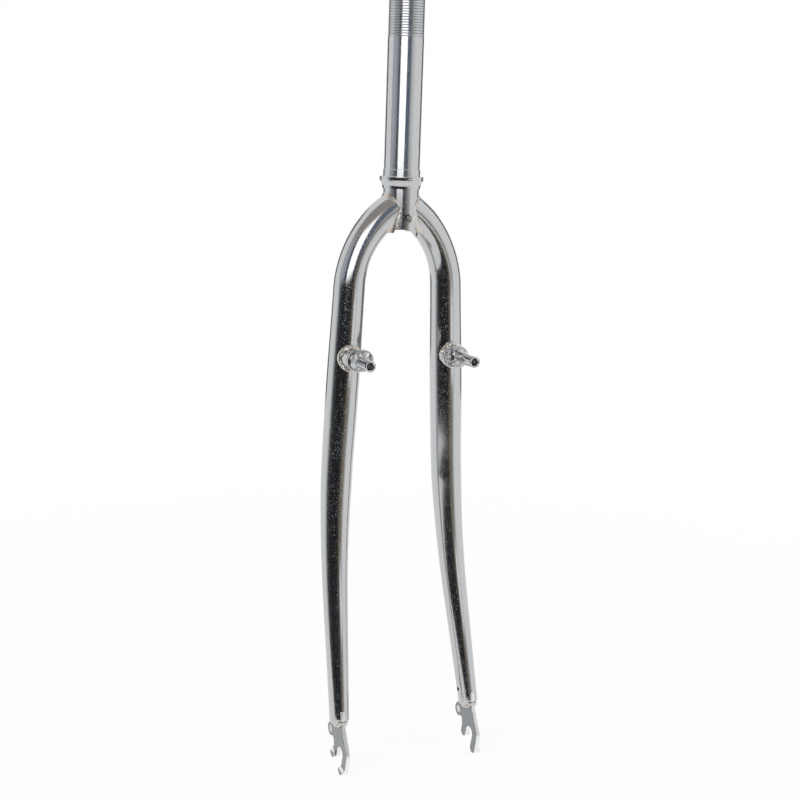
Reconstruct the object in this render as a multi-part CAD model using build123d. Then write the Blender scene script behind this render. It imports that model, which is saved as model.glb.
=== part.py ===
from build123d import *
import os
from math import acos, atan2, cos, pi, radians, sin, tan

# Rigid bicycle fork: a welded steel fork with a threaded steerer, bent and raked blades,
# cantilever brake bosses and stamped dropouts.
# Millimetres. X points forward, Y to the rider's left, Z up along the steerer.
# The origin is on the steerer's axis, at the shoulder that the lower headset race sits on.

# Steerer tube
steerer_od = 25.4
steerer_wall = 1.6
steerer_top = 150.0
steerer_bottom = -36.5
thread_length = 56.0
thread_core_dia = 24.2
steerer_chamfer = 0.6
keyway_width = 3.5
keyway_depth = 0.55
brake_hole_dia = 6.5
brake_hole_z = -28.8

# Crown race ring
race_seat_dia = 26.4
race_seat_height = 4.9
race_flange_dia = 31.2
race_flange_height = 3.0
race_neck_height = 5.5
race_neck_lip = 0.8
race_neck_radius = 8.8

# Blades
blade_od = 22.4
blade_belly = 0.55
blade_tip_od = 13.9
blade_wall = 1.6
blade_end_z = -385.0
bend_radius = 68.4
bend_end_y = 37.5
bend_end_z = -76.6
bend_flattening = 0.5
rake_start_z = -191.0
rake_radius = 430.0
rake_angle = 15.0
taper_delay = 27.0
taper_bow = 0.84
tip_round = 4.0
tip_cap = 6.0
vent_dia = 3.0
vent_above_end = 12.5
# Where the blade's cross sections are taken: shares of the bend from its foot, of the rake and of a straight run
bend_stations = (1, 0.86, 0.7, 0.53, 0.35, 0.17, 0)
bend_flat_end = 0.7
rake_stations = (0.45, 0.65, 0.82, 1)
run_stations = (0.33, 0.67)

# Dropouts
hub_width = 100.0
dropout_thickness = 3.2
tang_depth = 9.5
axle_below_end = 20.5
axle_slot_width = 9.4
slot_lean = 15.0
axle_pad_dia = 23.6
arm_length = 11.5
hook_length = 8.2
lip_height = 2.2
lip_length = 5.5
lip_clear_dia = 17.6
eyelet_od = 10.0
eyelet_hole_dia = 5.0
eyelet_back = 18.4
eyelet_up = 11.6
eyelet_corner = 2.5

# Brake bosses
boss_z = -126.1
boss_base_dia = 14.0
boss_base_front = 20.2
spring_plate_thickness = 3.0
spring_plate_height = 15.6
spring_plate_inward = 12.6
spring_plate_outward = 7.2
spring_hole_dia = 2.4
spring_hole_inward = 8.5
spring_hole_pitch = 3.9
stud_dia = 8.0
stud_tip_x = 46.4
stud_spigot = 8.0
shoulder_dia = 11.5
shoulder_height = 1.6
shoulder_cone = 4.0
stud_bore_dia = 5.0
stud_bore_depth = 15.0
stud_chamfer = 0.6

# Welds
crown_weld = 4.5
boss_weld = 2.0
tip_weld = 1.6
weld_below_steerer = 2.5
seam_tolerance = 0.02

# Places that follow from the sizes above
steerer_r = steerer_od / 2
blade_r = blade_od / 2
tip_r = blade_tip_od / 2
plate_y = hub_width / 2 + dropout_thickness / 2
splay = atan2(plate_y - bend_end_y, bend_end_z - blade_end_z)
bend_top = acos(cos(splay) - bend_end_y / bend_radius)
down = Vector(0, sin(splay), -cos(splay))
forward = Vector(1, 0, 0)
rake = radians(rake_angle)
bend_end = Vector(0, bend_end_y, bend_end_z)
rake_start = bend_end + down * ((bend_end_z - rake_start_z) / cos(splay))
rake_end = rake_start + down * (rake_radius * sin(rake)) + forward * (rake_radius * (1 - cos(rake)))
tip_axis = down * cos(rake) + forward * sin(rake)
tip_run = (rake_end.Z - blade_end_z) / -tip_axis.Z
rake_length = rake_radius * rake
blade_end = rake_end + tip_axis * tip_run
boss_y = bend_end_y + (bend_end_z - boss_z) * tan(splay)
slot_down = Vector(-sin(radians(slot_lean)), 0, -cos(radians(slot_lean)))
axle = Vector(blade_end.X + axle_below_end * sin(rake), plate_y, blade_end.Z - axle_below_end * cos(rake))


def bend_station(angle):
    """Centre and section directions on the crown bend, at an angle from the blade's run."""
    out = Vector(0, cos(angle), sin(angle))
    run_out = Vector(0, cos(splay), sin(splay))
    centre = bend_end + (out - run_out) * bend_radius
    return centre, forward, Vector(0, sin(angle), -cos(angle))


def rake_station(angle):
    """Centre and section directions on the rake arc."""
    centre = rake_start + down * (rake_radius * sin(angle)) + forward * (rake_radius * (1 - cos(angle)))
    return centre, forward * cos(angle) - down * sin(angle), down * cos(angle) + forward * sin(angle)


def taper_radius(distance):
    """Blade radius at a distance along the blade from the start of the rake."""
    run = (bend_end - rake_start).length
    if distance < taper_delay:
        return blade_r + blade_belly * sin(pi * (distance + run) / (taper_delay + run)) ** 2
    share = min((distance - taper_delay) / (rake_length + tip_run - taper_delay), 1.0)
    return blade_r + (tip_r - blade_r) * share - taper_bow * share * (1 - share)


def blade_sections(grow, end_shift):
    """Cross sections down the left blade, grown by a distance and ending past the tip by another."""
    sections = []

    def add(station, radius, flat=0.0):
        centre, x_dir, z_dir = station
        plane = Plane(origin=centre, x_dir=x_dir, z_dir=z_dir)
        sections.append(plane * Ellipse(radius + grow, radius - flat + grow))

    for share in bend_stations:
        flat = bend_flattening * sin(pi * min(share / bend_flat_end, 1))
        add(bend_station(splay + (bend_top - splay) * share), blade_r, flat)
    run = (bend_end - rake_start).length
    for share in run_stations:
        add((bend_end + down * (run * share), forward, down), taper_radius(run * (share - 1)))
    for share in (0, taper_delay / rake_length) + rake_stations:
        add(rake_station(rake * share), taper_radius(rake_length * share))
    end_run = tip_run + end_shift
    for share in run_stations + (1,):
        station = (rake_end + tip_axis * (end_run * share), forward * cos(rake) - down * sin(rake), tip_axis)
        add(station, taper_radius(rake_length + end_run * share))
    return sections


def blade_form(grow=0.0, end_shift=0.0):
    """The left blade as a solid bar, before it is bored and mitred."""
    return loft(blade_sections(grow, end_shift))


def blade_outside(grow=0.0):
    """The left blade's outer form, with its rounded tip."""
    form = blade_form(grow, grow)
    end_face = form.faces().sort_by(Axis.Z)[0]
    return fillet(end_face.edges(), tip_round + grow)


def steerer_bar(low, high, radius=steerer_r):
    """A bar on the steerer's axis."""
    return Pos(0, 0, (low + high) / 2) * Cylinder(radius, high - low)


def steerer_tube():
    """The steerer with its thread's blank, keyway and brake bolt hole."""
    thread_bottom = steerer_top - thread_length
    tube = steerer_bar(steerer_bottom, thread_bottom) + steerer_bar(thread_bottom, steerer_top, thread_core_dia / 2)
    tube = chamfer(tube.edges().sort_by(Axis.Z)[-1], steerer_chamfer)
    tube -= steerer_bar(steerer_bottom, steerer_top, steerer_r - steerer_wall)
    key_floor = thread_core_dia / 2 - keyway_depth
    tube -= Pos(-key_floor - steerer_r / 2, 0, steerer_top - thread_length / 2) * Box(
        steerer_r, keyway_width, thread_length)
    tube -= Pos(0, 0, brake_hole_z) * Rot(0, 90, 0) * Cylinder(brake_hole_dia / 2, 2 * steerer_od)
    return tube


def crown_race_ring():
    """The turned collar with the race seat, its flange and the hollowed neck below it."""
    seat_r = race_seat_dia / 2
    flange_r = race_flange_dia / 2
    neck_top = -race_flange_height
    neck_bottom = neck_top - race_neck_height
    neck_r = steerer_r + race_neck_lip
    with BuildSketch(Plane.XZ) as profile:
        with BuildLine():
            Polyline((steerer_r, neck_bottom), (steerer_r, race_seat_height), (seat_r, race_seat_height),
                     (seat_r, 0), (flange_r, 0), (flange_r, neck_top))
            RadiusArc((flange_r, neck_top), (neck_r, neck_bottom), -race_neck_radius)
            Line((neck_r, neck_bottom), (steerer_r, neck_bottom))
        make_face()
    return revolve(profile.sketch, Axis.Z)


def slot_frame():
    """Plane of the left dropout: origin on the axle, first axis forward across the slot, second up along it."""
    across = Vector(-slot_down.Z, 0, slot_down.X)
    return Plane(origin=axle, x_dir=across, z_dir=Vector(0, -1, 0))


def finger(side, length):
    """A finger beside the slot, ahead of it (1) or behind it (-1), with a round end below the axle."""
    inner = axle_slot_width / 2
    width = axle_pad_dia / 2 - inner
    straight = length - width / 2
    bar = Pos(side * (inner + width / 2), -straight / 2) * Rectangle(width, straight)
    return bar + Pos(side * (inner + width / 2), -straight) * Circle(width / 2)


def plate_outline():
    """The stamped dropout below the blade: web, axle pad, fingers and eyelet, less slot and eyelet hole."""
    to_local = slot_frame().to_local_coords
    end = to_local(blade_end)
    eyelet = to_local(axle + Vector(-eyelet_back, 0, eyelet_up))
    pad = Circle(axle_pad_dia / 2)
    web_end = Pos(end.X, end.Y) * Circle(tip_r)
    lug = Pos(eyelet.X, eyelet.Y) * Circle(eyelet_od / 2)
    plate = make_hull(pad.edges() + web_end.edges()) + make_hull(lug.edges() + web_end.edges())
    plate = offset(offset(plate, eyelet_corner), -eyelet_corner)
    plate -= Pos(0, -axle_pad_dia / 2) * Rectangle(2 * axle_pad_dia, axle_pad_dia)
    plate += finger(1, arm_length) + finger(-1, hook_length)
    plate -= Circle(axle_slot_width / 2)
    plate -= Pos(0, -arm_length / 2) * Rectangle(axle_slot_width, arm_length)
    plate -= Pos(eyelet.X, eyelet.Y) * Circle(eyelet_hole_dia / 2)
    return plate


def lip(side, length):
    """The outward lip at a finger's end, ramped up from the plate and clear of the axle nut."""
    frame = slot_frame()
    face = frame.origin + Vector(0, dropout_thickness / 2, 0)
    lip_plane = Plane(origin=face, x_dir=frame.x_dir, z_dir=frame.z_dir)
    end_bar = extrude(lip_plane * (finger(side, length) - Circle(lip_clear_dia / 2)), -lip_height)
    start = length - lip_length
    with BuildSketch(Plane(origin=face, x_dir=slot_down, z_dir=frame.x_dir)) as ramp:
        with BuildLine():
            Polyline((start, 0), (start + lip_height, lip_height), (2 * length, lip_height), (2 * length, 0), close=True)
        make_face()
    return end_bar & extrude(ramp.sketch, axle_pad_dia, both=True)


def dropout(blade_bar):
    """The left dropout: plate, tang inside the blade and outward lips round the slot's mouth."""
    frame = slot_frame()
    half = dropout_thickness / 2
    plate = extrude(frame * plate_outline(), half, both=True)
    tang_plane = Plane(origin=blade_end, x_dir=Vector(cos(rake), 0, sin(rake)), z_dir=Vector(0, -1, 0))
    tang = tang_plane * Pos(0, (tang_depth - tip_round) / 2) * Rectangle(3 * tip_r, tang_depth + tip_round)
    tang = extrude(tang, half, both=True) & blade_bar
    return plate + tang + lip(1, arm_length) + lip(-1, hook_length)


def hollow_blade(blade_bar, plate):
    """The left blade bored out, mitred to the steerer, slotted for its dropout and vented."""
    bore = blade_form(-blade_wall, -tip_cap)
    tube = blade_bar - bore
    tube -= steerer_bar(2 * bend_end_z, steerer_top)
    tube = tube.solids().sort_by(SortBy.VOLUME)[-1]
    tube -= plate
    vent = blade_end - tip_axis * vent_above_end
    tube -= Pos(vent.X, vent.Y - tip_r, vent.Z) * Rot(90, 0, 0) * Cylinder(vent_dia / 2, 2 * tip_r)
    return tube


def boss_bar(radius, front, back=0.0):
    """A bar on the left boss's axis."""
    return Pos((front + back) / 2, boss_y, boss_z) * Rot(0, 90, 0) * Cylinder(radius, front - back)


def boss_base(blade_bar):
    """The saddle that carries the stud, seated on the blade's front."""
    base = boss_bar(boss_base_dia / 2, boss_base_front) - blade_bar
    base = base.solids().sort_by(Axis.X)[-1]
    return base - boss_bar(stud_dia / 2, boss_base_front, boss_base_front - stud_spigot)


def spring_plate():
    """The stamped plate with three spring holes on the wheel's side of the stud."""
    plane = Plane(origin=(boss_base_front, boss_y, boss_z), x_dir=(0, 1, 0), z_dir=(1, 0, 0))
    round_r = spring_plate_height / 2
    inner = Pos(round_r - spring_plate_inward, 0) * Circle(round_r)
    outer = Pos(spring_plate_outward - round_r, 0) * Circle(round_r)
    outline = make_hull(inner.edges() + outer.edges()) - Circle(stud_dia / 2)
    for step in (-1, 0, 1):
        outline -= Pos(-spring_hole_inward, step * spring_hole_pitch) * Circle(spring_hole_dia / 2)
    return extrude(plane * outline, spring_plate_thickness)


def pivot_stud():
    """The turned stud: spigot, shoulder with its cone, pivot and tapped bore."""
    seat = boss_base_front + spring_plate_thickness
    stud_r = stud_dia / 2
    bore_r = stud_bore_dia / 2
    with BuildSketch(Plane.XZ) as profile:
        with BuildLine():
            Polyline((boss_base_front - stud_spigot, 0), (boss_base_front - stud_spigot, stud_r), (seat, stud_r),
                     (seat, shoulder_dia / 2), (seat + shoulder_height, shoulder_dia / 2),
                     (seat + shoulder_height + shoulder_cone, stud_r), (stud_tip_x - stud_chamfer, stud_r),
                     (stud_tip_x, stud_r - stud_chamfer), (stud_tip_x, bore_r + stud_chamfer),
                     (stud_tip_x - stud_chamfer, bore_r), (stud_tip_x - stud_bore_depth, bore_r),
                     (stud_tip_x - stud_bore_depth, 0), close=True)
        make_face()
    return Pos(0, boss_y, boss_z) * revolve(profile.sketch, Axis.X)


def on_steerer(edge):
    """Whether a curved edge runs round the steerer's surface."""
    def gap(share):
        point = edge @ share
        return abs(Vector(point.X, point.Y, 0).length - steerer_r)
    return edge.geom_type != GeomType.LINE and max(gap(share) for share in (0.2, 0.5, 0.8)) < seam_tolerance


def crown_seam(blade_bar, ring):
    """The weld fillet in the corner between blade and steerer, ending just below the steerer."""
    bar = steerer_bar(2 * bend_end_z, steerer_top)
    joined = blade_bar + bar
    seam = [edge for edge in joined.edges() if on_steerer(edge) and 2 * bend_end_z < edge.center().Z - crown_weld
            and edge.center().Z < steerer_top - crown_weld]
    weld = fillet(seam, crown_weld) - blade_bar - bar
    return weld - ring - steerer_bar(2 * bend_end_z, steerer_bottom - weld_below_steerer, 2 * steerer_od)


def boss_seam(blade_bar):
    """The bead round the boss's saddle, in the corner that blade and boss share."""
    bar = boss_bar(boss_base_dia / 2, boss_base_front)
    collar = boss_bar(boss_base_dia / 2 + boss_weld, boss_base_front)
    return (blade_form(boss_weld) & collar) - blade_bar - bar


def tip_seam(blade_bar, plate):
    """The bead where the dropout leaves the blade's tip."""
    skin = blade_outside(tip_weld)
    reach = dropout_thickness / 2 + tip_weld
    slab = Pos(blade_end.X, plate_y, blade_end.Z) * Box(4 * tip_r, 2 * reach, 2 * tip_round)
    return (skin & slab) - blade_bar - plate


def export_pair(name, solid):
    """Writes a left piece and its mirrored right one."""
    export_step(solid, f"parts/left_{name}.step")
    export_step(mirror(solid, about=Plane.XZ), f"parts/right_{name}.step")


os.makedirs("parts", exist_ok=True)
blade_bar = blade_outside()
ring = crown_race_ring()
left_dropout = dropout(blade_bar)
export_step(steerer_tube(), "parts/steerer_tube.step")
export_step(ring, "parts/crown_race_ring.step")
export_pair("blade", hollow_blade(blade_bar, left_dropout))
export_pair("dropout", left_dropout)
export_pair("boss_base", boss_base(blade_bar))
export_pair("spring_plate", spring_plate())
export_pair("pivot_stud", pivot_stud())
export_pair("crown_weld", crown_seam(blade_bar, ring))
export_pair("boss_weld", boss_seam(blade_bar))
export_pair("dropout_weld", tip_seam(blade_bar, left_dropout))
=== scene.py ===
from math import atan2, cos, hypot, pi, radians, sin, sqrt, tan

import bmesh
import bpy
from mathutils import Matrix, Vector, noise

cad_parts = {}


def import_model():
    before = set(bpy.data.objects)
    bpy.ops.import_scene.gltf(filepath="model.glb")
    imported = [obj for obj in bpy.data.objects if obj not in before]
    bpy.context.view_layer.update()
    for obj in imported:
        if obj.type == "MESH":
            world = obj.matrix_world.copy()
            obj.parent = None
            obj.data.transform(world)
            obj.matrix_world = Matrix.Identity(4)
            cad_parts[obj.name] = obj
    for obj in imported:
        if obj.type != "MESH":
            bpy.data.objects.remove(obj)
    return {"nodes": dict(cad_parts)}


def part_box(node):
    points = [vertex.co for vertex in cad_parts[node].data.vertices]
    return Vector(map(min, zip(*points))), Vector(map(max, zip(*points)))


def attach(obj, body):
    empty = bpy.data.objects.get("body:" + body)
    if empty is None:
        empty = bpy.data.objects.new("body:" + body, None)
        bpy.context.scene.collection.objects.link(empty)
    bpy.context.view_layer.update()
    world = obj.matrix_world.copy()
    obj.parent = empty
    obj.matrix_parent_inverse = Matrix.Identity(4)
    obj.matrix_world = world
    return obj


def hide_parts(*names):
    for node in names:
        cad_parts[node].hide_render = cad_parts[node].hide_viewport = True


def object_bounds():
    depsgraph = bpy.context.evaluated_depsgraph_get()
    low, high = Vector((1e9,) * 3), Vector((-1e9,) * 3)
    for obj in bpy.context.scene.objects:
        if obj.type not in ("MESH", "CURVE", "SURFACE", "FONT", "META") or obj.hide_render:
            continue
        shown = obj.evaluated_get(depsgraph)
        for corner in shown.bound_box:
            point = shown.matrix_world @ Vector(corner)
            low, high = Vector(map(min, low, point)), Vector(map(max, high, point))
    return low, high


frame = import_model()
cad_box = [list(corner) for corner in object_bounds()]

# Sizes of the fork, in millimetres until MM turns them into the frame's metres
MM = 0.001
STEERER_R = 12.7 * MM
BORE_R = 11.1 * MM
THREAD_R = 12.55 * MM
THREAD_LENGTH = 56 * MM
THREAD_PITCH = 1.8 * MM
THREAD_DEPTH = 0.42 * MM
GROOVE_SHARE = 0.26
ROWS_PER_TURN = 12
STEERER_CHAMFER = 0.6 * MM
KEY_HALF_WIDTH = 1.75 * MM
KEY_FLOOR = 11.55 * MM
HOLE_R = 3.25 * MM
HOLE_Z = -28.8 * MM
BLADE_R = 11.2 * MM
BLADE_BELLY = 0.55 * MM
TIP_R = 6.95 * MM
BEND_RADIUS = 68.4 * MM
BEND_FLATTENING = 0.5 * MM
BEND_TOP = radians(66)
FLAT_END = radians(45)
BEND_END = Vector((0, 37.5, -76.6)) * MM
RAKE_START_Z = -191 * MM
RAKE_RADIUS = 430 * MM
RAKE = radians(15)
TAPER_DELAY = 27 * MM
TAPER_BOW = 0.84 * MM
TIP_ROUND = 4 * MM
VENT_R = 1.5 * MM
VENT_ABOVE_END = 12.5 * MM
BLADE_END_Z = -385 * MM
PLATE_Y = 51.6 * MM
BOSS_Z = -126.1 * MM
BOSS_R = 7 * MM
EDGE_ROUND = 0.35 * MM
# Faces whose normal leans less than this towards the fork's sides get a paler metal, a painted highlight on the
# dropouts' edges
PAINTED_EDGE_FACING = 0.75
AROUND = 96

# Welds: the crown's fine bead and its fill beside the brake bolt hole, the boss's bead, and lumps on them all
SEAM_DEPTH = 9 * MM
SEAM_BEAD, SEAM_SPREAD, SEAM_SUNK = 1.3, 0.4, 0.97
FILL_R = 3.2 * MM
FILL_PROUD = 0.42 * MM
FILL_TOP = HOLE_Z + 5 * MM
FILL_ROWS = 5
FILL_PITCH = 1.0 * MM
FILL_MIDDLE = 0.4 * MM
FILL_END = 0.6 * MM
BOSS_BEADS = 40
BOSS_BEAD, BOSS_BEAD_ABOVE, BOSS_BEAD_SPREAD = 1.6, 0.7, 0.3
BOSS_BEAD_OUT = 0.6 * MM
BOSS_BEAD_PROUD = 0.4 * MM
COARSE_LUMPS, FINE_LUMPS, FINE_SHARE = 420, 1100, 0.5
SKIN_VOXEL, BOSS_VOXEL = 0.3 * MM, 0.35 * MM

# Finishes: where the noise makes a pit, how much wider its patches are than its specks, and where a tint ends
PIT_FROM, PIT_FULL = 0.62, 0.80
PATCH_WIDTH = 6
TINT_FROM, TINT_TO = 0.42, 0.58

# The camera at the photograph's place
CAMERA_AT = Vector((924.4257, -426.7670, 32.7795)) * MM
CAMERA_YAW, CAMERA_PITCH, CAMERA_ROLL = 0.4365527, 0.1864727, 0.0332588
FOCAL_PIXELS, FRAME_PIXELS, SENSOR = 1438.766, 800, 36

# The studio: a pale floor, and emission cards that only reflections see, each painted by bearing in degrees, so
# the metal's bands, edge lines and highlights are painted reflections.
# On the camera's side the card is painted as a dark room low down and a lighter one higher up, with a painted
# soft box that glows at 2.4 though it is no lamp.
# Elsewhere the metal shows the white background.
FLOOR_R = 6
FLOOR_WHITE_NEAR, FLOOR_FADE_FROM, FLOOR_WHITE_FROM = 0.93, 0.2, 0.9
ROOM_R, FLAG_R, WINDOW_R = 0.75, 1.6, 0.72
ROOM_CHANGE = (-0.088, 0.009)
ROOM_HEIGHTS = (0.32, 0.57)
ROOM_TOP = (0.29, 0.93)
FLAG_TOP = 0.9
WINDOW_HEIGHTS = (-0.269, -0.156)
CEILING_FROM = 0.5
# The ceiling colour is a painted reflection on the upper sides of the bends
PAINTED_CEILING = (0.40, 0.365, 0.34)
# The low window glows at 1.1 though it is no lamp: a painted highlight on the fork's lower parts
PAINTED_LOW_WINDOW = (1.1, 1.1, 1.1)
# Painted reflections by bearing: the low room's dark colours give the metal its dark bands, its lighter ends
# its pale strips
PAINTED_LOW_ROOM = [
    (-82, (0.95, 0.96, 0.96)), (-70, (0.50, 0.52, 0.52)), (-62, (0.09, 0.093, 0.098)),
    (-40, (0.024, 0.024, 0.027)), (5, (0.017, 0.018, 0.021)), (22, (0.045, 0.040, 0.035)),
    (32, (0.20, 0.165, 0.13)), (50, (0.30, 0.265, 0.23)), (58, (0.60, 0.60, 0.59)), (66, (0.95, 0.95, 0.95))]
# The high room's colours are painted reflections higher up; its 2.4 stripe is a painted soft box that puts a
# painted highlight down the steerer
PAINTED_HIGH_ROOM = [
    (-82, (0.56, 0.57, 0.62)), (-60, (0.56, 0.57, 0.62)), (-46, (0.40, 0.41, 0.47)), (-38, (0.09, 0.096, 0.12)),
    (-29, (0.10, 0.11, 0.135)), (-24, (2.4, 2.4, 2.4)), (9, (2.4, 2.4, 2.4)), (14, (0.13, 0.15, 0.21)),
    (34, (0.18, 0.21, 0.28)), (44, (0.68, 0.70, 0.68)), (66, (0.95, 0.95, 0.94))]
# The flags' dark colours paint a thin dark reflection line along each tube's edge
PAINTED_FLAG = [(128, (0.16, 0.165, 0.17)), (139, (0.05, 0.052, 0.058)), (150, (0.16, 0.165, 0.17))]
AIM = Vector((0, 0, -0.15))

# Directions and lengths down the left blade
splay = atan2(PLATE_Y - BEND_END.y, BEND_END.z - BLADE_END_Z)
down = Vector((0, sin(splay), -cos(splay)))
forward = Vector((1, 0, 0))
rake_start = BEND_END + down * ((BEND_END.z - RAKE_START_Z) / cos(splay))
rake_end = rake_start + down * (RAKE_RADIUS * sin(RAKE)) + forward * (RAKE_RADIUS * (1 - cos(RAKE)))
tip_axis = down * cos(RAKE) + forward * sin(RAKE)
bend_length = BEND_RADIUS * (BEND_TOP - splay)
run_length = (rake_start - BEND_END).length
rake_length = RAKE_RADIUS * RAKE
tip_length = (rake_end.z - BLADE_END_Z) / -tip_axis.z
blade_length = bend_length + run_length + rake_length + tip_length
boss_y = BEND_END.y + (BEND_END.z - BOSS_Z) * tan(splay)


# Meshes
def make_piece(name, verts, faces, nodes, sharp=radians(35)):
    """A smooth mesh that rides on the fork and stands for the named nodes."""
    mesh = bpy.data.meshes.new(name)
    mesh.from_pydata(verts, [], faces)
    weld_doubles(mesh)
    return dress(name, mesh, nodes, sharp)


def dress(name, mesh, nodes, sharp):
    """Links a mesh as a piece of the fork, smooth but for its sharp edges."""
    mesh.validate()
    mesh.shade_smooth()
    mesh.set_sharp_from_angle(angle=sharp)
    piece = bpy.data.objects.new(name, mesh)
    bpy.context.collection.objects.link(piece)
    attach(piece, "root")
    if nodes:
        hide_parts(*nodes)
    return piece


def grid_faces(rows, columns):
    """Quads between the rows of a grid whose columns close round."""
    faces = []
    for row in range(rows - 1):
        for column in range(columns):
            after = (column + 1) % columns
            here, below = row * columns, (row + 1) * columns
            faces.append([here + column, here + after, below + after, below + column])
    return faces


def cut(name, mesh, cutters):
    """A mesh less some cutter meshes."""
    body = bpy.data.objects.new(name + "_uncut", mesh)
    bpy.context.collection.objects.link(body)
    for cutter in cutters:
        modifier = body.modifiers.new("cut", "BOOLEAN")
        modifier.object = cutter
        modifier.solver = "EXACT"
    return baked(body, cutters)


def baked(body, helpers=()):
    """The mesh of an object with its modifiers, which is then removed with its helpers."""
    bpy.context.view_layer.update()
    graph = bpy.context.evaluated_depsgraph_get()
    mesh = bpy.data.meshes.new_from_object(body.evaluated_get(graph))
    for thing in (body, *helpers):
        bpy.data.objects.remove(thing)
    return mesh


def rod(centre, direction, radius, length):
    """A cutter cylinder."""
    form = bmesh.new()
    bmesh.ops.create_cone(form, cap_ends=True, segments=48, radius1=radius, radius2=radius, depth=length)
    turn = Vector((0, 0, 1)).rotation_difference(direction).to_matrix().to_4x4()
    form.transform(Matrix.Translation(centre) @ turn)
    mesh = bpy.data.meshes.new("rod")
    form.to_mesh(mesh)
    form.free()
    cutter = bpy.data.objects.new("rod", mesh)
    bpy.context.collection.objects.link(cutter)
    return cutter


def spun(profile, place, columns=AROUND):
    """Vertices and faces of a closed profile of (along, radius) points spun about an axis."""
    verts = []
    for along, radius in profile + profile[:1]:
        for step in range(columns):
            angle = 2 * pi * step / columns
            verts.append(place(along, radius * cos(angle), radius * sin(angle)))
    return verts, grid_faces(len(profile) + 1, columns)


# Steerer and its race collar
def thread_radius(z, angle, bottom):
    """The thread's outside: a helix of narrow grooves between flat crests that runs out at the bottom."""
    turn = ((z - bottom) / THREAD_PITCH - angle / (2 * pi)) % 1
    fade = min((z - bottom) / THREAD_PITCH, 1)
    groove = max(1 - abs(turn - 0.5) / (GROOVE_SHARE / 2), 0)
    return THREAD_R - THREAD_DEPTH * fade * groove


def steerer():
    """The steerer with its helical thread, keyway, open bore and brake bolt hole."""
    low, high = (corner.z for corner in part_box("steerer_tube"))
    thread_bottom = high - THREAD_LENGTH
    thread_top = high - STEERER_CHAMFER
    plain_rows = 12
    plain = [low + (thread_bottom - low) * step / plain_rows for step in range(plain_rows + 1)]
    thread_rows = int((thread_top - thread_bottom) / THREAD_PITCH * ROWS_PER_TURN)
    threaded = [thread_bottom + (thread_top - thread_bottom) * step / thread_rows
                for step in range(thread_rows + 1)]
    rows = [(z, "plain") for z in plain] + [(z, "thread") for z in threaded]
    rows += [(high, "top"), (high, "bore"), (low, "bore"), (low, "plain")]
    verts = []
    for z, kind in rows:
        for step in range(AROUND):
            angle = 2 * pi * step / AROUND
            radius = {"plain": STEERER_R, "bore": BORE_R, "top": THREAD_R - STEERER_CHAMFER}.get(kind)
            radius = radius or thread_radius(z, angle, thread_bottom)
            if kind in ("thread", "top") and cos(angle) < 0 and abs(radius * sin(angle)) < KEY_HALF_WIDTH:
                radius = min(radius, KEY_FLOOR / -cos(angle))
            verts.append((radius * cos(angle), radius * sin(angle), z))
    mesh = bpy.data.meshes.new("steerer_blank")
    mesh.from_pydata(verts, [], grid_faces(len(rows), AROUND))
    weld_doubles(mesh)
    mesh = cut("steerer", mesh, [rod(Vector((0, 0, HOLE_Z)), forward, HOLE_R, 4 * STEERER_R)])
    return dress("threaded_steerer", mesh, ["steerer_tube"], radians(40))


def finish_thread(piece, finish):
    """Gives the threaded length its own darker finish."""
    piece.data.materials.append(finish)
    thread_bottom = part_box("steerer_tube")[1].z - THREAD_LENGTH
    for face in piece.data.polygons:
        outside = hypot(face.center.x, face.center.y) > (BORE_R + KEY_FLOOR) / 2
        face.material_index = 1 if outside and face.center.z > thread_bottom else 0


def paint_edge_highlight(piece, finish):
    """Paints a highlight on a dropout's edges: faces not turned to its sides get a paler metal than its faces.
    """
    piece.data.materials.append(finish)
    for face in piece.data.polygons:
        face.material_index = 1 if abs(face.normal.y) < PAINTED_EDGE_FACING else 0


def weld_doubles(mesh):
    """Joins the seam of a closed grid."""
    form = bmesh.new()
    form.from_mesh(mesh)
    bmesh.ops.remove_doubles(form, verts=form.verts, dist=1e-6)
    bmesh.ops.recalc_face_normals(form, faces=form.faces)
    form.to_mesh(mesh)
    form.free()


def race_collar():
    """The crown race's seat, flange and hollow neck, in millimetres along and out from the steerer's axis."""
    bore, seat, flange, lip = 12.7, 13.2, 15.6, 13.5
    top, flange_foot, neck_top, neck_foot, foot = 4.9, -2.9, -3.3, -8.3, -8.5
    seat_edge, flange_edge = 0.3, 0.35
    arc_along, arc_out, arc_radius = -8.71, 22.3, 8.8
    neck_steps = 8
    neck = []
    for step in range(neck_steps + 1):
        along = neck_top + (neck_foot - neck_top) * step / neck_steps
        neck.append((along, arc_out - sqrt(arc_radius ** 2 - (along - arc_along) ** 2)))
    profile = [(foot, bore), (top, bore), (top, seat - seat_edge), (top - seat_edge, seat), (0, seat),
               (0, flange - flange_edge), (-flange_edge, flange), (flange_foot, flange)] + neck + [(foot, lip)]
    profile = [(along * MM, radius * MM) for along, radius in profile]
    verts, faces = spun(profile, lambda along, a, b: (a, b, along))
    return make_piece("race_collar", verts, faces, ["crown_race_ring"])


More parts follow.
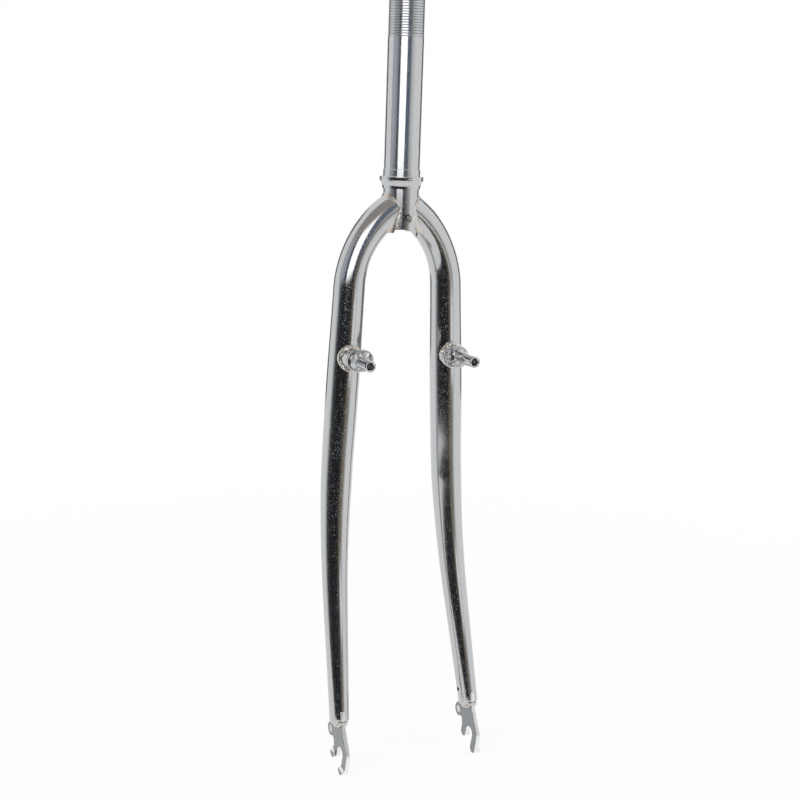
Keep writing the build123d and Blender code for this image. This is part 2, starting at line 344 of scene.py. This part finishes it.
# Blades
def blade_station(distance):
    """Centre, two section directions and two half-widths at a distance down the left blade."""
    if distance <= bend_length:
        angle = BEND_TOP - distance / BEND_RADIUS
        out = Vector((0, cos(angle), sin(angle)))
        centre = BEND_END + (out - Vector((0, cos(splay), sin(splay)))) * BEND_RADIUS
        tangent = Vector((0, sin(angle), -cos(angle)))
        swing = min((angle - splay) / (FLAT_END - splay), 1)
        return centre, forward, tangent.cross(forward), BLADE_R, BLADE_R - BEND_FLATTENING * sin(pi * swing)
    along = distance - bend_length - run_length
    radius = taper(along)
    if along <= 0:
        return rake_start + down * along, forward, down.cross(forward), radius, radius
    angle = min(along / RAKE_RADIUS, RAKE)
    centre = rake_start + down * (RAKE_RADIUS * sin(angle)) + forward * (RAKE_RADIUS * (1 - cos(angle)))
    tangent = down * cos(angle) + forward * sin(angle)
    centre += tangent * max(along - rake_length, 0)
    front = forward * cos(angle) - down * sin(angle)
    return centre, front, tangent.cross(front), radius, radius


def taper(along):
    """Blade radius at a distance past the start of the rake."""
    if along < TAPER_DELAY:
        return BLADE_R + BLADE_BELLY * sin(pi * (along + run_length) / (TAPER_DELAY + run_length)) ** 2
    share = min((along - TAPER_DELAY) / (rake_length + tip_length - TAPER_DELAY), 1)
    return BLADE_R + (TIP_R - BLADE_R) * share - TAPER_BOW * share * (1 - share)


def blade_point(distance, angle, shrink=0.0):
    """A point on the left blade's skin."""
    centre, front, side, half_front, half_side = blade_station(distance)
    return centre + front * ((half_front - shrink) * cos(angle)) + side * ((half_side - shrink) * sin(angle))


def mitre(angle):
    """How far down the blade a line of its skin leaves the steerer."""
    inside, outside = 0.0, bend_length
    steps, halvings = 60, 24
    for step in range(steps):
        distance = bend_length * step / steps
        point = blade_point(distance, angle)
        if hypot(point.x, point.y) < STEERER_R:
            inside, outside = distance, bend_length * (step + 1) / steps
    for _ in range(halvings):
        middle = (inside + outside) / 2
        point = blade_point(middle, angle)
        if hypot(point.x, point.y) < STEERER_R:
            inside = middle
        else:
            outside = middle
    return outside


angles = [2 * pi * step / AROUND for step in range(AROUND)]
mitre_starts = [mitre(angle) for angle in angles]
crown_seam = [blade_point(start, angle) for start, angle in zip(mitre_starts, angles)]


def blade_rows():
    """Rows of points down the left blade: a cap on the steerer, the skin and the rounded tip."""
    middle = sum(crown_seam, Vector()) / AROUND
    cap_rows, bend_rows, lower_rows, tip_rows = 7, 60, 110, 10
    rows = []
    for step in range(1, cap_rows):
        row = [middle.lerp(point, step / cap_rows) for point in crown_seam]
        rows.append([on_steerer(point) for point in row])
    for step in range(bend_rows):
        share = step / bend_rows
        rows.append([blade_point(start + (bend_length - start) * share, angle)
                     for start, angle in zip(mitre_starts, angles)])
    body = blade_length - TIP_ROUND - bend_length
    for step in range(lower_rows):
        rows.append([blade_point(bend_length + body * step / lower_rows, angle) for angle in angles])
    for step in range(tip_rows + 1):
        turn = pi / 2 * step / tip_rows
        distance = blade_length - TIP_ROUND * (1 - sin(turn))
        rows.append([blade_point(distance, angle, TIP_ROUND * (1 - cos(turn))) for angle in angles])
    return rows


def on_steerer(point):
    """The nearest point on the steerer's outside."""
    out = STEERER_R / max(hypot(point.x, point.y), 1e-6)
    return Vector((point.x * out, point.y * out, point.z))


def blade(side, mirrored):
    """A blade with its mitre, bend, rake, taper, rounded tip and vent hole."""
    rows = blade_rows()
    verts = [Vector((p.x, p.y * mirrored, p.z)) for row in rows for p in row]
    faces = grid_faces(len(rows), AROUND)
    faces.append(list(range(AROUND)))
    faces.append(list(range((len(rows) - 1) * AROUND, len(rows) * AROUND)))
    mesh = bpy.data.meshes.new(side + "_blade_blank")
    mesh.from_pydata(verts, [], faces)
    weld_doubles(mesh)
    vent = rake_end + tip_axis * (tip_length - VENT_ABOVE_END)
    vent_at = Vector((vent.x, (vent.y - TIP_R) * mirrored, vent.z))
    mesh = cut(side + "_blade", mesh, [rod(vent_at, Vector((0, 1, 0)), VENT_R, 1.2 * TIP_R)])
    return dress(side + "_fork_leg", mesh, [side + "_blade"], radians(40))


# Brake bosses
def stud(side, mirrored):
    """The turned pivot stud with its shoulder, cone and open bore, in millimetres along and out."""
    axis, bore, pivot, cone, shoulder = 0.05, 2.5, 4, 5.6, 5.75
    start, shoulder_start, cone_start, cone_end, bore_end, end = 12.2, 23.2, 25.0, 28.8, 31.4, 46.4
    shoulder_edge, cone_edge, end_edge = 0.25, 0.2, 0.5
    profile = [(start, axis), (start, pivot), (shoulder_start, pivot),
               (shoulder_start, shoulder - shoulder_edge), (shoulder_start + shoulder_edge, shoulder),
               (cone_start - cone_edge, shoulder), (cone_start, cone), (cone_end, pivot),
               (end - end_edge, pivot), (end, pivot - end_edge), (end, bore + end_edge),
               (end - end_edge, bore), (bore_end, bore), (bore_end, axis)]
    profile = [(along * MM, radius * MM) for along, radius in profile]
    verts, faces = spun(profile, lambda along, a, b: (along, boss_y * mirrored + a, BOSS_Z + b), 64)
    return make_piece(side + "_stud", verts, faces, [side + "_pivot_stud"], radians(15))


def copied(name, node, rounding, sharp=radians(30)):
    """A copy of a node's mesh with its sharp edges rounded."""
    mesh = frame["nodes"][node].data.copy()
    weld_doubles(mesh)
    body = bpy.data.objects.new(name + "_plain", mesh)
    bpy.context.collection.objects.link(body)
    if rounding:
        edge = body.modifiers.new("edges", "BEVEL")
        edge.width = rounding
        edge.segments = 2
        edge.limit_method = "ANGLE"
        edge.angle_limit = radians(40)
    return dress(name, baked(body), [node], sharp)


def softened(name, node, voxel, iterations):
    """A copy of a node's mesh with all its edges rounded."""
    body = bpy.data.objects.new(name + "_plain", frame["nodes"][node].data.copy())
    bpy.context.collection.objects.link(body)
    skin = body.modifiers.new("skin", "REMESH")
    skin.mode = "VOXEL"
    skin.voxel_size = voxel
    smooth = body.modifiers.new("round", "SMOOTH")
    smooth.iterations = iterations
    return dress(name, baked(body), [node], radians(80))


# Welds
def lumpy(name, node, beads, voxel, rough, seed, softenings=6):
    """A weld: the node's fillet and its beads melted into one skin with small lumps."""
    form = bmesh.new()
    if node:
        form.from_mesh(frame["nodes"][node].data)
    for place, radius in beads:
        bmesh.ops.create_icosphere(form, subdivisions=2, radius=radius, matrix=Matrix.Translation(place))
    mesh = bpy.data.meshes.new(name + "_beads")
    form.to_mesh(mesh)
    form.free()
    body = bpy.data.objects.new(name + "_beads", mesh)
    bpy.context.collection.objects.link(body)
    melt = body.modifiers.new("melt", "REMESH")
    melt.mode = "VOXEL"
    melt.voxel_size = voxel
    soften = body.modifiers.new("soften", "SMOOTH")
    soften.iterations = softenings
    mesh = baked(body)
    shift = Vector((seed, 0, 0))
    moved = []
    for vertex in mesh.vertices:
        lump = noise.noise(vertex.co * COARSE_LUMPS + shift)
        lump += FINE_SHARE * noise.noise(vertex.co * FINE_LUMPS + shift)
        moved.append(vertex.co + vertex.normal * (rough * lump))
    for vertex, place in zip(mesh.vertices, moved):
        vertex.co = place
    return dress(name, mesh, [node] if node else [], radians(80))


def crown_beads(mirrored, seed):
    """Lumps on the crown's weld: a fine bead along its top, and a low fill beside the brake bolt hole."""
    beads = []
    low, high = (corner.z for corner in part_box("left_crown_weld"))
    reach = sqrt(FILL_R ** 2 - (FILL_R - FILL_PROUD) ** 2)
    sunk = 1 - (FILL_R - FILL_PROUD) / STEERER_R
    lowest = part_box("steerer_tube")[0].z + reach + FILL_END
    for step, point in enumerate(crown_seam):
        if high - SEAM_DEPTH < point.z < high:
            size = (SEAM_BEAD + SEAM_SPREAD * noise.noise(Vector((step * 0.45, seed, 0)))) * MM
            beads.append((towards_axis(on_steerer(point), SEAM_SUNK), size))
        if point.x < 0.5 * STEERER_R or not low < point.z < FILL_TOP:
            continue
        rows = 1 + int(FILL_ROWS * (FILL_TOP - point.z) / (FILL_TOP - low))
        for inward in range(1, rows + 1):
            place = on_steerer(Vector((point.x, max(point.y - inward * FILL_PITCH, FILL_MIDDLE), point.z)))
            if hypot(place.y, place.z - HOLE_Z) > HOLE_R + reach and place.z > lowest:
                beads.append((towards_axis(place, sunk), FILL_R))
    return [(Vector((place.x, place.y * mirrored, place.z)), size) for place, size in beads]


def towards_axis(point, share):
    """A point moved towards the steerer's axis, to a share of its distance."""
    return Vector((point.x * share, point.y * share, point.z))


def boss_beads(mirrored, seed):
    """Beads round the boss's saddle, heavier above it."""
    beads = []
    ring = BOSS_R + BOSS_BEAD_OUT
    for step in range(BOSS_BEADS):
        angle = 2 * pi * step / BOSS_BEADS
        y = boss_y + ring * cos(angle)
        z = BOSS_Z + ring * sin(angle)
        middle = BEND_END.y + (BEND_END.z - z) * tan(splay)
        x = sqrt(max((BLADE_R + BLADE_BELLY) ** 2 - (y - middle) ** 2, 0))
        uneven = BOSS_BEAD_SPREAD * noise.noise(Vector((step * 0.9, seed, 3)))
        size = (BOSS_BEAD + BOSS_BEAD_ABOVE * max(sin(angle), 0) + uneven) * MM
        beads.append((Vector((x + BOSS_BEAD_PROUD, y * mirrored, z)), size))
    return beads


# Materials
def node_tree(material):
    """A material's nodes and links."""
    material.use_nodes = True
    return material.node_tree.nodes, material.node_tree.links


def metal(name, colour, roughness, spread, speck_scale, speck_depth, tint=None):
    """A metal whose fine speckle comes from a noise bump, with an optional second colour in patches."""
    material = bpy.data.materials.new(name)
    nodes, links = node_tree(material)
    shader = nodes["Principled BSDF"]
    shader.inputs["Metallic"].default_value = 1.0
    shader.inputs["Base Color"].default_value = (*colour, 1)
    shader.inputs["Roughness"].default_value = roughness
    place = nodes.new("ShaderNodeTexCoord")
    speck = nodes.new("ShaderNodeTexNoise")
    speck.inputs["Scale"].default_value = speck_scale
    speck.inputs["Detail"].default_value = 3
    links.new(place.outputs["Object"], speck.inputs["Vector"])
    bump = nodes.new("ShaderNodeBump")
    bump.inputs["Strength"].default_value = 1.0
    bump.inputs["Distance"].default_value = speck_depth
    pits = nodes.new("ShaderNodeMapRange")
    pits.inputs["From Min"].default_value = PIT_FROM
    pits.inputs["From Max"].default_value = PIT_FULL
    links.new(speck.outputs["Fac"], pits.inputs["Value"])
    links.new(pits.outputs["Result"], bump.inputs["Height"])
    links.new(bump.outputs["Normal"], shader.inputs["Normal"])
    patch = nodes.new("ShaderNodeTexNoise")
    patch.inputs["Scale"].default_value = speck_scale / PATCH_WIDTH
    links.new(place.outputs["Object"], patch.inputs["Vector"])
    matte = nodes.new("ShaderNodeMapRange")
    matte.inputs["To Min"].default_value = roughness - spread
    matte.inputs["To Max"].default_value = roughness + spread
    links.new(patch.outputs["Fac"], matte.inputs["Value"])
    links.new(matte.outputs["Result"], shader.inputs["Roughness"])
    if tint:
        ramp = nodes.new("ShaderNodeValToRGB")
        ramp.color_ramp.elements[0].position = TINT_FROM
        ramp.color_ramp.elements[0].color = (*tint, 1)
        ramp.color_ramp.elements[1].position = TINT_TO
        ramp.color_ramp.elements[1].color = (*colour, 1)
        links.new(patch.outputs["Fac"], ramp.inputs["Fac"])
        links.new(ramp.outputs["Color"], shader.inputs["Base Color"])
    return material


# Studio
def painted(name):
    """A card's painted glow: an emission with no shading, which the metal shows as painted reflections."""
    material = bpy.data.materials.new(name)
    nodes, links = node_tree(material)
    nodes.remove(nodes["Principled BSDF"])
    paint = nodes.new("ShaderNodeVertexColor")
    paint.layer_name = "paint"
    light = nodes.new("ShaderNodeEmission")
    links.new(paint.outputs["Color"], light.inputs["Color"])
    links.new(light.outputs["Emission"], nodes["Material Output"].inputs["Surface"])
    return material


def camera():
    """The camera at the photograph's place and angle."""
    level_share = cos(CAMERA_PITCH)
    look = Vector((-cos(CAMERA_YAW) * level_share, sin(CAMERA_YAW) * level_share, -sin(CAMERA_PITCH)))
    level = look.cross(Vector((0, 0, 1))).normalized()
    upright = level.cross(look)
    across = level * cos(CAMERA_ROLL) + upright * sin(CAMERA_ROLL)
    up = upright * cos(CAMERA_ROLL) - level * sin(CAMERA_ROLL)
    eye = bpy.data.objects.new("camera", bpy.data.cameras.new("camera"))
    eye.matrix_world = Matrix.Translation(CAMERA_AT) @ Matrix((across, up, -look)).transposed().to_4x4()
    eye.data.sensor_fit = "HORIZONTAL"
    eye.data.sensor_width = SENSOR
    eye.data.lens = FOCAL_PIXELS / FRAME_PIXELS * SENSOR
    eye.data.clip_start = 0.01
    bpy.context.collection.objects.link(eye)
    bpy.context.scene.camera = eye


def bearing(degrees_right):
    """A level direction, in degrees to the right of the one from the fork towards the camera."""
    turn = radians(degrees_right)
    towards = Vector((cos(CAMERA_YAW), -sin(CAMERA_YAW), 0))
    right = Vector((sin(CAMERA_YAW), cos(CAMERA_YAW), 0))
    return towards * cos(turn) + right * sin(turn)


def ramp_colour(stops, bearing_degrees):
    """The colour between the stops of a list of (bearing, colour)."""
    for (low, before), (high, after) in zip(stops, stops[1:]):
        if low <= bearing_degrees <= high:
            share = (bearing_degrees - low) / (high - low)
            return Vector(before).lerp(Vector(after), share)
    return Vector(stops[-1][1])


def card(name, left, right, profile, colour):
    """A curved emission card between two bearings, along a profile of (radius, height), that only reflections
    see, so it paints reflections on the metal.
    """
    steps = int(abs(right - left) / 2)
    verts, colours = [], []
    for radius, height in profile:
        for step in range(steps + 1):
            degrees_right = left + (right - left) * step / steps
            level = bearing(degrees_right) * radius
            verts.append((level.x, level.y, height))
            colours.append((*colour(degrees_right, height), 1))
    width = steps + 1
    faces = []
    for row in range(len(profile) - 1):
        for step in range(steps):
            here = row * width + step
            faces.append((here, here + 1, here + width + 1, here + width))
    mesh = bpy.data.meshes.new(name)
    mesh.from_pydata(verts, [], faces)
    paint = mesh.color_attributes.new("paint", "FLOAT_COLOR", "POINT")
    for point, shade in zip(paint.data, colours):
        point.color = shade
    mesh.materials.append(painted(name))
    thing = bpy.data.objects.new(name, mesh)
    bpy.context.collection.objects.link(thing)
    thing.visible_camera = False
    thing.visible_diffuse = False
    thing.visible_shadow = False


def painted_room_colour(degrees_right, height):
    """The painted reflection colour of the room card in a direction: low, high or between, with the painted
    ceiling above.
    """
    if height > CEILING_FROM:
        return Vector(PAINTED_CEILING)
    share = min(max((height - ROOM_CHANGE[0]) / (ROOM_CHANGE[1] - ROOM_CHANGE[0]), 0), 1)
    return ramp_colour(PAINTED_LOW_ROOM, degrees_right).lerp(ramp_colour(PAINTED_HIGH_ROOM, degrees_right), share)


def painted_flag_colour(degrees_right, height):
    """The colour of the narrow dark cards that paint a thin dark reflection line along a tube's edges."""
    return ramp_colour(PAINTED_FLAG, abs(degrees_right))


def painted_window_colour(degrees_right, height):
    """The glow of the low window, a painted highlight on the fork's lower parts though it is no lamp."""
    return Vector(PAINTED_LOW_WINDOW)


def white_when_seen(nodes, links):
    """A factor that is 1 for camera, glossy and transmission rays."""
    path = nodes.new("ShaderNodeLightPath")
    total = path.outputs["Is Camera Ray"]
    for kind in ("Is Glossy Ray", "Is Transmission Ray"):
        most = nodes.new("ShaderNodeMath")
        most.operation = "MAXIMUM"
        links.new(total, most.inputs[0])
        links.new(path.outputs[kind], most.inputs[1])
        total = most.outputs["Value"]
    return total


def floor(height):
    """A wide pale floor that keeps a faint shadow."""
    bpy.ops.mesh.primitive_circle_add(
        vertices=AROUND, radius=FLOOR_R, fill_type="NGON", location=(0, 0, height))
    ground = bpy.context.object
    ground.name = "floor"
    material = bpy.data.materials.new("floor")
    nodes, links = node_tree(material)
    nodes["Principled BSDF"].inputs["Base Color"].default_value = (0.8, 0.8, 0.8, 1)
    nodes["Principled BSDF"].inputs["Roughness"].default_value = 0.9
    nodes["Principled BSDF"].inputs["Specular IOR Level"].default_value = 0.0
    light = nodes.new("ShaderNodeEmission")
    place = nodes.new("ShaderNodeTexCoord")
    away = nodes.new("ShaderNodeVectorMath")
    away.operation = "LENGTH"
    links.new(place.outputs["Object"], away.inputs[0])
    fade = nodes.new("ShaderNodeMapRange")
    fade.inputs["From Min"].default_value = FLOOR_FADE_FROM
    fade.inputs["From Max"].default_value = FLOOR_WHITE_FROM
    fade.inputs["To Min"].default_value = FLOOR_WHITE_NEAR
    links.new(away.outputs["Value"], fade.inputs["Value"])
    share = nodes.new("ShaderNodeMath")
    share.operation = "MULTIPLY"
    links.new(fade.outputs["Result"], share.inputs[1])
    links.new(white_when_seen(nodes, links), share.inputs[0])
    mix = nodes.new("ShaderNodeMixShader")
    links.new(share.outputs["Value"], mix.inputs["Fac"])
    links.new(nodes["Principled BSDF"].outputs["BSDF"], mix.inputs[1])
    links.new(light.outputs["Emission"], mix.inputs[2])
    links.new(mix.outputs["Shader"], nodes["Material Output"].inputs["Surface"])
    ground.data.materials.append(material)


def world():
    """White where it is seen, and a plain soft light otherwise."""
    sky = bpy.data.worlds.new("studio")
    bpy.context.scene.world = sky
    sky.use_nodes = True
    nodes, links = sky.node_tree.nodes, sky.node_tree.links
    soft = nodes["Background"]
    soft.inputs["Color"].default_value = (0.8, 0.8, 0.82, 1)
    soft.inputs["Strength"].default_value = 0.8
    seen = nodes.new("ShaderNodeBackground")
    seen.inputs["Color"].default_value = (1, 1, 1, 1)
    mix = nodes.new("ShaderNodeMixShader")
    links.new(white_when_seen(nodes, links), mix.inputs["Fac"])
    links.new(soft.outputs["Background"], mix.inputs[1])
    links.new(seen.outputs["Background"], mix.inputs[2])
    links.new(mix.outputs["Shader"], nodes["World Output"].inputs["Surface"])


def lamp(name, degrees_right, distance, height, size, power):
    """A soft square lamp aimed at the fork's middle."""
    data = bpy.data.lights.new(name, "AREA")
    data.size = size
    data.energy = power
    thing = bpy.data.objects.new(name, data)
    place = bearing(degrees_right) * distance + Vector((0, 0, height))
    aim = AIM - place
    thing.matrix_world = Matrix.Translation(place) @ aim.to_track_quat("-Z", "Y").to_matrix().to_4x4()
    thing.visible_glossy = False
    bpy.context.collection.objects.link(thing)


# The fork
pieces = {"chrome": [steerer(), race_collar()], "dropout_steel": [], "weld": []}
for side, mirrored in (("left", 1), ("right", -1)):
    pieces["chrome"] += [blade(side, mirrored), stud(side, mirrored),
                         copied(side + "_saddle", side + "_boss_base", EDGE_ROUND),
                         copied(side + "_spring_tab", side + "_spring_plate", EDGE_ROUND)]
    pieces["dropout_steel"].append(
        softened(side + "_fork_end", side + "_dropout", SKIN_VOXEL, 8))
    pieces["weld"] += [
        copied(side + "_crown_fillet", side + "_crown_weld", 0, radians(60)),
        lumpy(side + "_crown_bead", None, crown_beads(mirrored, 5 * mirrored),
              SKIN_VOXEL, 0.07 * MM, 3 * mirrored, 16),
        lumpy(side + "_boss_bead", side + "_boss_weld", boss_beads(mirrored, 7 * mirrored),
              BOSS_VOXEL, 0.35 * MM, 9 * mirrored),
        lumpy(side + "_tip_bead", side + "_dropout_weld", [], SKIN_VOXEL, 0.25 * MM, 13 * mirrored)]
finishes = {
    "chrome": metal("chrome", (0.53, 0.54, 0.55), 0.11, 0.04, 1500, 0.00005),
    "dropout_steel": metal("dropout_steel", (0.24, 0.25, 0.26), 0.24, 0.05, 1300, 0.00005),
    "weld": metal("weld", (0.66, 0.65, 0.63), 0.27, 0.06, 1100, 0.00006, (0.62, 0.56, 0.48)),
}
for slot, made in pieces.items():
    for piece in made:
        piece.data.materials.clear()
        piece.data.materials.append(finishes[slot])
# A paler metal on the dropouts' edge faces: a painted highlight
edge_highlight_metal = metal("painted_edge_highlight", (0.86, 0.87, 0.88), 0.36, 0.06, 1300, 0.00006)
for piece in pieces["dropout_steel"]:
    paint_edge_highlight(piece, edge_highlight_metal)
finish_thread(pieces["chrome"][0], metal("chrome_thread", (0.48, 0.49, 0.505), 0.17, 0.05, 1500, 0.00007))

# The studio round it
ground = cad_box[0][2]
world()
floor(ground)
camera()
# Emission cards that only reflections see: painted reflections and painted highlights on the metal
room = [(ROOM_R, height) for height in (ground, *ROOM_CHANGE, *ROOM_HEIGHTS)]
card("room", -82, 66, room + [ROOM_TOP], painted_room_colour)
# Dark flags: painted reflection lines along the tubes' edges
flag = [(FLAG_R, ground), (FLAG_R, FLAG_TOP)]
card("left_painted_flag", -150, -128, flag, painted_flag_colour)
card("right_painted_flag", 128, 150, flag, painted_flag_colour)
# Low window: a painted highlight that glows though it is no lamp
card("painted_low_window", 40, 58, [(WINDOW_R, height) for height in WINDOW_HEIGHTS], painted_window_colour)
lamp("key", -50, 1.1, 0.9, 0.7, 10)
lamp("fill", 70, 1.2, 0.5, 0.8, 5)

bpy.context.scene.view_settings.view_transform = "Standard"
